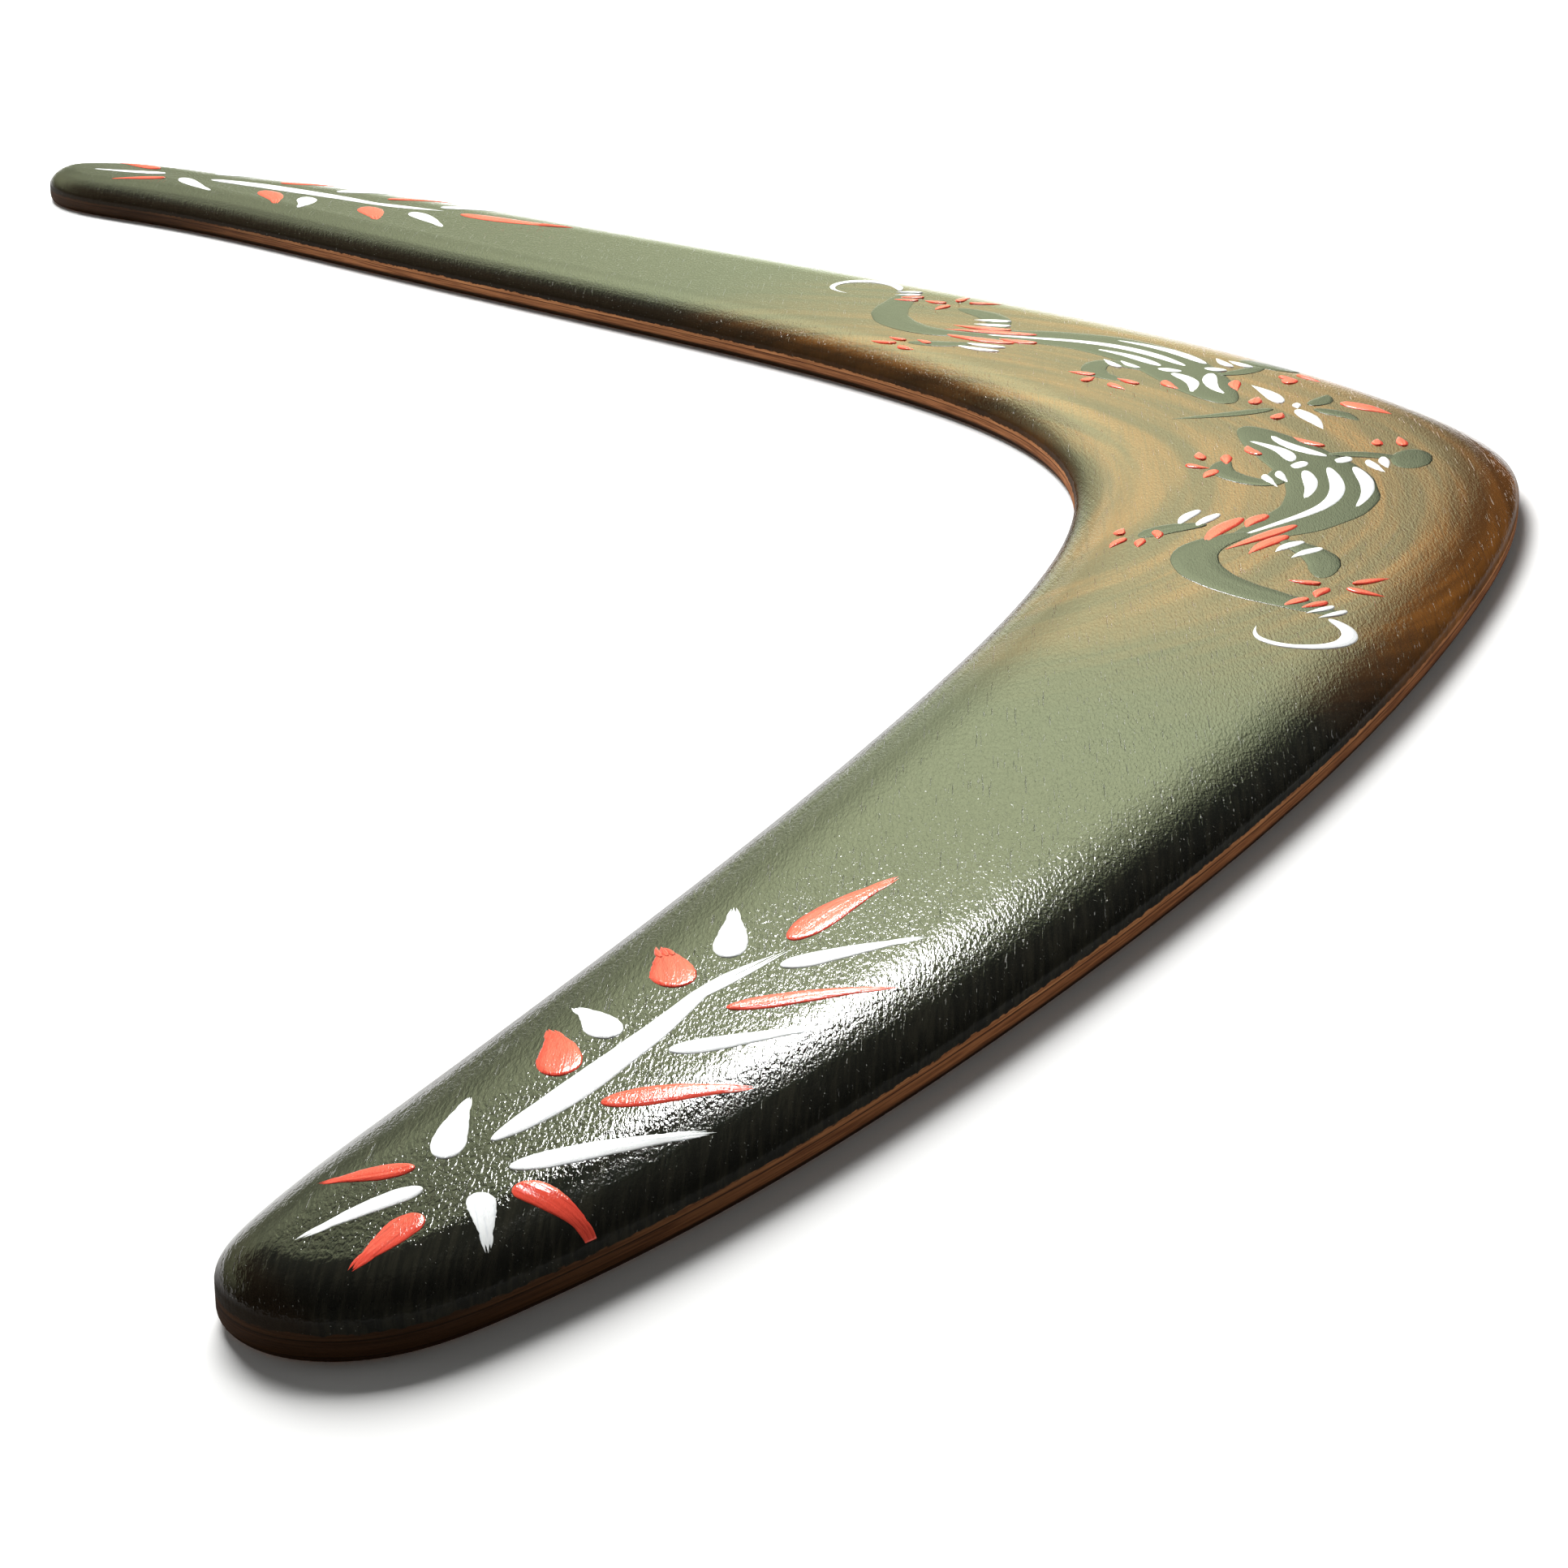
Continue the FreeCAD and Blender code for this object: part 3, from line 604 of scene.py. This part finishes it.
def on_board(places, lift):
    """Points on the carved top at plan places (mm), lifted along the surface normal."""
    nearest = np.array([rim_tree.find((px, py, 0.0))[1] for px, py in places])
    inward = rim_inward[nearest]
    depth = ((places - rim_place[nearest]) * inward).sum(1)
    short = np.maximum(0.0, RIM_MARGIN - depth)
    places = places + inward * short[:, None]
    share = np.clip((depth + short) / rim_bevel[nearest], 0.0, 1.0)
    rise = np.sqrt(1 - (1 - share) ** 2)
    height = BAND_TOP + (TOP - BAND_TOP) * rise
    slope = np.where(share < 1, (TOP - BAND_TOP) * (1 - share) / np.maximum(rise, 0.05)
                     / rim_bevel[nearest], 0.0)
    normal = np.column_stack([-inward * slope[:, None], np.ones(len(places))])
    normal /= np.linalg.norm(normal, axis=1)[:, None]
    return (np.column_stack([places, height]) + normal * lift[:, None]) * MM


def stroke_widths(t, width, peak, blunt):
    """Half the width of a stroke along its path."""
    s = np.where(t < peak, 1 - t / peak, (t - peak) / (1 - peak))
    round_end = np.sqrt(np.maximum(0.0, 1 - s * s))
    fine_end = 1 - np.maximum(s, 0.0) ** FINE_END
    return 0.5 * width * np.where((t < peak) | blunt, round_end, fine_end)


def shell_faces():
    """Faces of the closed shell of a stroke: its domed top, its underside and two ends."""
    under = ROWS * COLUMNS
    first = under + ROWS * (COLUMNS - 2)
    last = first + 1

    def top_at(i, j):
        return i * COLUMNS + j

    def low_at(i, j):
        if j in (0, COLUMNS - 1):
            return top_at(i, j)
        return under + i * (COLUMNS - 2) + j - 1

    faces = []
    end = ROWS - 1
    for j in range(COLUMNS - 1):
        faces.append((top_at(0, j), top_at(0, j + 1), first))
        faces.append((low_at(0, j + 1), low_at(0, j), first))
        faces.append((top_at(end, j + 1), top_at(end, j), last))
        faces.append((low_at(end, j), low_at(end, j + 1), last))
        for i in range(ROWS - 1):
            faces.append((top_at(i, j), top_at(i + 1, j), top_at(i + 1, j + 1), top_at(i, j + 1)))
            faces.append((low_at(i, j), low_at(i, j + 1), low_at(i + 1, j + 1), low_at(i + 1, j)))
    return faces


SHELL_FACES = shell_faces()


def stroke_shell(stroke, thickness, blunt, rng):
    """Vertices of one brush stroke, domed, ridged by the bristles and thinner at its end,
    and its brush coordinates: along the stroke, across it, and a shift of its own."""
    width, peak, path = stroke
    t = 0.5 - 0.5 * np.cos(np.pi * np.linspace(0, 1, ROWS + 2)[1:-1])
    curve = spline(np.array(path) + SHIFT)
    place, tangent = curve(t)
    normal = np.stack([-tangent[:, 1], tangent[:, 0]], 1)
    half = stroke_widths(t, width, peak, blunt)

    # the two sides wander a little, more so towards the end
    left, right = [sum(rng.uniform(0.2, 1.0) * np.sin(f * np.pi * t + rng.uniform(*ANY_PHASE))
                       for f in (5, 9, 16)) * (0.008 + 0.022 * t) for _ in range(2)]
    v = np.sin(0.5 * np.pi * np.linspace(-1, 1, COLUMNS))
    side = v[None] * (1 + np.where(v[None] > 0, left[:, None], right[:, None]))
    across = side * half[:, None]
    plan = place[:, None] + normal[:, None] * across[:, :, None]

    dome = (1 - np.abs(v) ** DOME_FLATNESS) ** DOME_POWER
    body = 1 - THIN_END * smooth((t - peak) / (1 - peak))
    # thinner too where the stroke is narrow
    fullness = np.minimum(1.0, half / (0.28 * width) + 0.15)
    bristles = sum(rng.uniform(0.4, 1.0) * np.cos(f * v + rng.uniform(*ANY_PHASE))
                   for f in (7.0, 11.0, 17.0)) * BRISTLE_RIDGES
    lift = thickness * (body * fullness)[:, None] * dome[None] * (1 + bristles[None])
    lift = lift - PAINT_EDGE * (dome[None] < 1e-6)
    top = on_board(plan.reshape(-1, 2), lift.ravel())
    low = on_board(plan[:, 1:-1].reshape(-1, 2), np.full(ROWS * (COLUMNS - 2), PAINT_FOOT))
    tips = np.array([place[0] - tangent[0] * FIRST_ROW_GAP, curve(np.array([1.0]))[0][0]])
    ends = on_board(tips, np.full(2, -PAINT_EDGE))

    brush = np.stack([np.repeat(t[:, None] * path_length(path), COLUMNS, axis=1), across,
                      np.full(across.shape, rng.uniform(0, 50))], axis=2)
    brush = np.vstack([brush.reshape(-1, 3), brush[:, 1:-1].reshape(-1, 3),
                       brush[0, :1], brush[-1, -1:]])
    return np.vstack([top, low, ends]), brush * MM


def bristle_tails(stroke, rng):
    """Three hair-fine strokes where the brush leaves the surface."""
    width, _, path = stroke
    place, tangent = spline(np.array(path))(np.array([TAIL_START, 1.0]))
    normal = np.array([-tangent[0][1], tangent[0][0]])
    tails = []
    for side in (-1, 0, 1):
        start = place[0] + normal * side * width * TAIL_SPREAD
        # a tail ends a little before the stroke or past it
        reach = rng.uniform(0.9, 1.12)
        end = place[1] + tangent[1] * path_length(path) * 0.1 * (reach - 1) * 4
        end = end + normal * side * width * rng.uniform(0.03, 0.10)
        middle = (start + end) / 2 + normal * side * width * 0.03
        tail_path = [tuple(start), tuple(middle), tuple(end)]
        tails.append((width * TAIL_WIDTH, TAIL_PEAK, tail_path))
    return tails


def paint(node, strokes, material, thickness, seed, blunt=False, tails=True):
    """All the strokes of one CAD node as one piece."""
    rng = np.random.default_rng(seed)
    strokes = list(strokes)
    if tails:
        for stroke in list(strokes):
            strokes += bristle_tails(stroke, rng)
    vertices, faces, brushes = [], [], []
    for number, stroke in enumerate(strokes):
        depth = thickness if stroke[0] > HAIR_WIDTH else thickness * HAIR_THICKNESS
        points, brush = stroke_shell(stroke, depth, blunt, rng)
        vertices.append(points)
        brushes.append(brush)
        faces += [tuple(number * len(points) + i for i in face) for face in SHELL_FACES]
    piece = finish_mesh(node + "_strokes", np.vstack(vertices), faces, node, material)
    data = piece.data.attributes.new("brush", "FLOAT_VECTOR", "POINT")
    data.data.foreach_set("vector", np.vstack(brushes).ravel())


LEAF_PAINT = 0.12           # thickness of the paint on the arms
RED_DAB_PAINT = 1.2 * LEAF_PAINT
FIGURE_WHITE_PAINT = 0.16   # and at the elbow
FIGURE_RED_PAINT = 0.17
FIGURE_BLACK_PAINT = 0.08

sprays = {"right": (spray_stem, spray_white, spray_red, burst_white, burst_red)}
sprays["left"] = [mirrored(strokes, **LEFT_SPRAY) for strokes in (
    spray_stem, spray_white, spray_red, burst_white[1:], burst_red[1:])]
for seed, (arm, (stem, white, red, tip_white, tip_red)) in zip((10, 20), sprays.items()):
    paint(arm + "_arm_stem_white", stem, white_paint, LEAF_PAINT, seed=seed)
    paint(arm + "_arm_leaves_white", white, white_paint, LEAF_PAINT,
          seed=seed + 1)
    paint(arm + "_arm_leaves_red", red, red_paint, LEAF_PAINT, seed=seed + 2)
    paint(arm + "_tip_dabs_white", tip_white, white_paint, LEAF_PAINT,
          seed=seed + 3)
    paint(arm + "_tip_dabs_red", tip_red, red_paint, RED_DAB_PAINT, seed=seed + 4)

figures = {"right_figure": (figure_white, figure_red, figure_black)}
figures["left_figure"] = [mirrored(strokes, **LEFT_FIGURE) for strokes in (
    figure_white, figure_red, figure_black)]
figures["center_motif"] = (center_white, center_red, center_black)
for seed, (figure, (white, red, black)) in zip((50, 60, 70), figures.items()):
    paint(figure + "_white", white, white_paint, FIGURE_WHITE_PAINT,
          tails=False, seed=seed)
    paint(figure + "_red", red, red_paint, FIGURE_RED_PAINT, tails=False,
          seed=seed + 1)
    paint(figure + "_black", black, black_paint, FIGURE_BLACK_PAINT,
          blunt=figure != "center_motif", tails=False, seed=seed + 2)

# ---------------------------------------------------------------- the table
TABLE_HALF = 30.0           # half its width; metres, from here on
TABLE_DROP = 0.00003        # keeps the table clear of the board's underside
SWEEP = (0.45, 1.5)         # distances over which the table runs out into a white sweep


def table_material():
    """Matt white with a faint grit. Far from the board it is an evenly lit white sweep."""
    s = Shader("white_table")
    place = s.coordinates("Object")
    grit = s.noise(place, detail=3.0, scale=30.0)
    return s.surface(
        Base_Color=s.blend(grit, (0.90, 0.90, 0.885), (0.91, 0.91, 0.90)), Roughness=0.9,
        Specular_IOR_Level=0.0, Emission_Color=(1.0, 1.0, 1.0),
        Emission_Strength=s.between(s.distance(place), *SWEEP))


corners = [(-TABLE_HALF, -TABLE_HALF, 0), (TABLE_HALF, -TABLE_HALF, 0),
           (TABLE_HALF, TABLE_HALF, 0), (-TABLE_HALF, TABLE_HALF, 0)]
floor_mesh = bpy.data.meshes.new("floor")
floor_mesh.from_pydata(corners, [], [(0, 1, 2, 3)])
floor_mesh.materials.append(table_material())
floor = bpy.data.objects.new("floor", floor_mesh)
floor.location = (0, 0, -TABLE_DROP)
bpy.context.collection.objects.link(floor)

# ---------------------------------------------------------------- the room
# Brightness by the sine of the elevation: of the room as light falls from it, and of the
# softer backdrop that the lacquer reflects.
ROOM_LIGHT = [(0.0, 1.0), (0.36, 1.0), (0.44, 0.30), (0.50, 0.02), (1.0, 0.02)]
BACKDROP = [(0.0, 0.66), (0.10, 0.52), (0.16, 0.33), (0.235, 0.39), (0.267, 0.54),
            (0.342, 0.84), (0.39, 0.76), (0.46, 0.46), (0.53, 0.02)]
BACKDROP_COLOR = (2.52, 2.80, 1.66)
HORIZON_COLOR = (2.45, 2.6, 2.1)
DARK_ROOM = (0.02, 0.02, 0.018)
LIT_SIDE = (1.4, 1.4, 1.4)
CAMERA_SIDE = (0.42, 0.41, 0.39)


def height_ramp(s, z, stops):
    made = s.node("ShaderNodeValToRGB", {0: z})
    elements = made.color_ramp.elements
    while len(elements) < len(stops):
        elements.new(0.5)
    for element, (position, value) in zip(elements, stops):
        element.position = position
        element.color = (value, value, value, 1.0)
    return made.outputs[0]


def backdrop(s, x, y, z):
    """A glow behind the board, brighter to the right and at about 20 degrees up."""
    from_left = s.node("ShaderNodeMapRange", {
        "Value": y, "From Min": -0.05, "From Max": 0.21, "To Min": 0.30}).outputs[0]
    from_right = s.between(y, 0.46, 0.27)
    share = s.times(s.between(x, -0.2, -0.6), s.times(from_left, from_right))
    color = s.blend(s.between(z, 0.12, 0.03), BACKDROP_COLOR, HORIZON_COLOR)
    color = s.blend(1.0, color, height_ramp(s, z, BACKDROP), "MULTIPLY")
    return s.blend(1.0, s.blend(1.0, color, share, "MULTIPLY"), DARK_ROOM, "ADD")


def studio():
    """A plain pale room, darker on the camera's side so that the edges facing it stay in
    shade, with the backdrop in reflections."""
    s = Shader("studio", bpy.data.worlds)
    x, y, z = s.axes(s.coordinates("Generated"))
    ray = s.node("ShaderNodeLightPath", {}).outputs
    shade = s.minus(s.between(x, -0.15, 0.45), ray["Is Camera Ray"])
    room = s.blend(1.0, s.blend(shade, LIT_SIDE, CAMERA_SIDE), height_ramp(s, z, ROOM_LIGHT),
                   "MULTIPLY")
    seen = s.blend(ray["Is Glossy Ray"], room, backdrop(s, x, y, z))
    light = s.node("ShaderNodeBackground", {"Color": seen, "Strength": 1.0})
    s.node("ShaderNodeOutputWorld", {"Surface": light.outputs[0]})
    return s.owner


bpy.context.scene.world = studio()

# ---------------------------------------------------------------- lamps and camera


def direction(azimuth, elevation):
    """Unit vector at an azimuth from +X towards +Y and an elevation, both in radians."""
    return Vector((math.cos(azimuth) * math.cos(elevation),
                   math.sin(azimuth) * math.cos(elevation), math.sin(elevation)))


def softbox(name, shape, size, power, place, target):
    """A square or round area lamp that the camera doesn't see."""
    data = bpy.data.lights.new(name, "AREA")
    data.shape = shape
    data.size = size
    data.energy = power
    lamp = bpy.data.objects.new(name, data)
    lamp.location = place
    lamp.rotation_mode = "QUATERNION"
    lamp.rotation_quaternion = (Vector(target) - Vector(place)).to_track_quat("-Z", "Y")
    lamp.visible_camera = False
    bpy.context.collection.objects.link(lamp)
    return lamp


overhead = softbox("overhead_softbox", "SQUARE", 0.75, 47.0, (-1.0, -0.12, 0.85), (0.05, 0, 0))
overhead.visible_glossy = False

# a small round one low behind the board, seen only as the glare on the near arm
glare = Vector((0.19, -0.035, 0.006))
away = direction(math.radians(180.0 - 14.4), math.radians(29.0))
low_lamp = softbox("low_softbox", "DISK", 0.105, 1.0, glare + away * 0.8, glare)
low_lamp.visible_diffuse = False

camera_data = bpy.data.cameras.new("camera")
camera_data.sensor_width = 36.0
camera_data.lens = 78.89
camera_data.clip_start = 0.01
camera_data.clip_end = 100.0
camera = bpy.data.objects.new("camera", camera_data)
camera.location = (0.4565, -0.0807, 0.1160)
yaw, pitch, roll = 2.956, 0.339, -0.004
camera.rotation_mode = "QUATERNION"
camera.rotation_quaternion = (direction(yaw, -pitch).to_track_quat("-Z", "Y")
                              @ Quaternion((0, 0, 1), roll))
bpy.context.collection.objects.link(camera)
bpy.context.scene.camera = camera
bpy.context.scene.view_settings.view_transform = "Standard"
